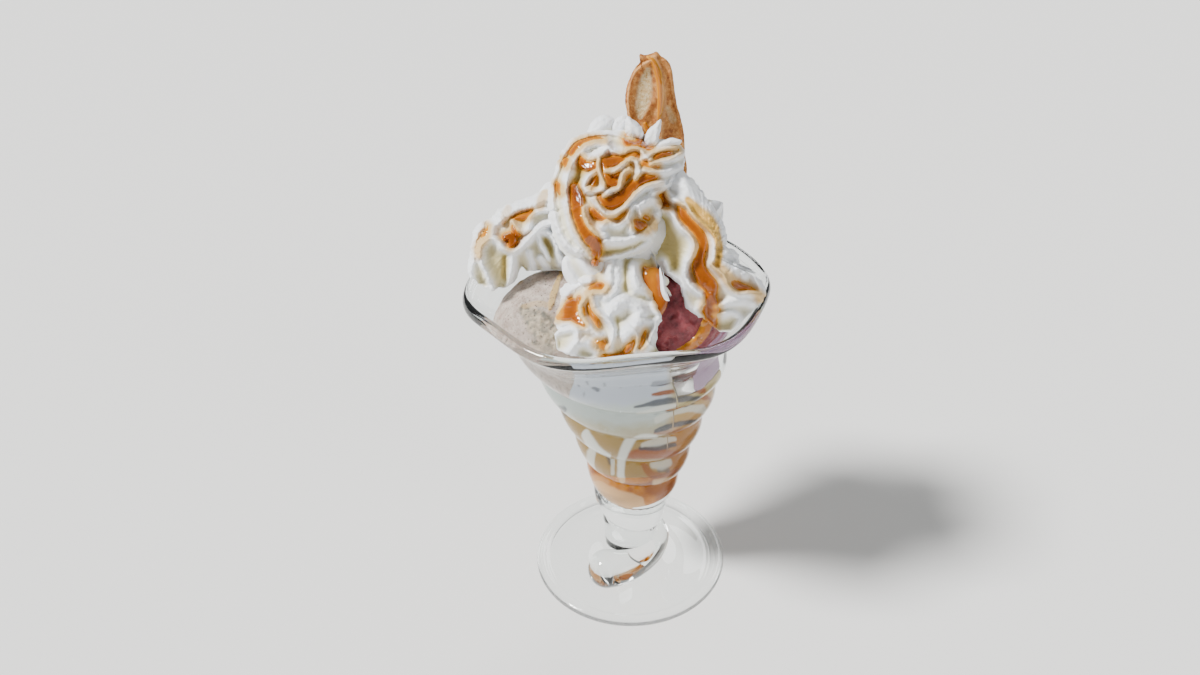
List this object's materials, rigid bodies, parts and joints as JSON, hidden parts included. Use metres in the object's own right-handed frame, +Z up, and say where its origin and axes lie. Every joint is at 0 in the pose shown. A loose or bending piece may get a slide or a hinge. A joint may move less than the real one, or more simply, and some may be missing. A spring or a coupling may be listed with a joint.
{
  "type": "ice cream sundae",
  "caption": "Ice cream sundae in a footed spiral glass: vanilla, speckled and berry ice cream under piped whipped cream with caramel sauce and a curled wafer.",
  "frame": {"origin": "on the table, under the middle of the glass's mouth, which is the middle of the whole part's box", "axes": "+Z up; the shown side, with the rosette, faces -Y; +X to the viewer's right"},
  "size_m": [0.1212, 0.1188, 0.2315],
  "materials": {
    "clear_glass": "clear, polished pressed glass",
    "caramel": "glossy, translucent caramel sauce",
    "vanilla": "smooth, moist ice cream",
    "speckled": "rough, speckled ice cream",
    "berry": "moist, dark sorbet",
    "cream": "soft, slightly glossy whipped cream",
    "wafer": "dry, baked biscuit"
  },
  "bodies": {
    "root": {"glass": "clear_glass", "caramel_pool": "caramel", "vanilla_ice_cream": "vanilla", "speckled_scoop": "speckled", "berry_scoop": "berry", "whipped_cream": "cream", "wafer": "wafer"}
  },
  "joints": []
}
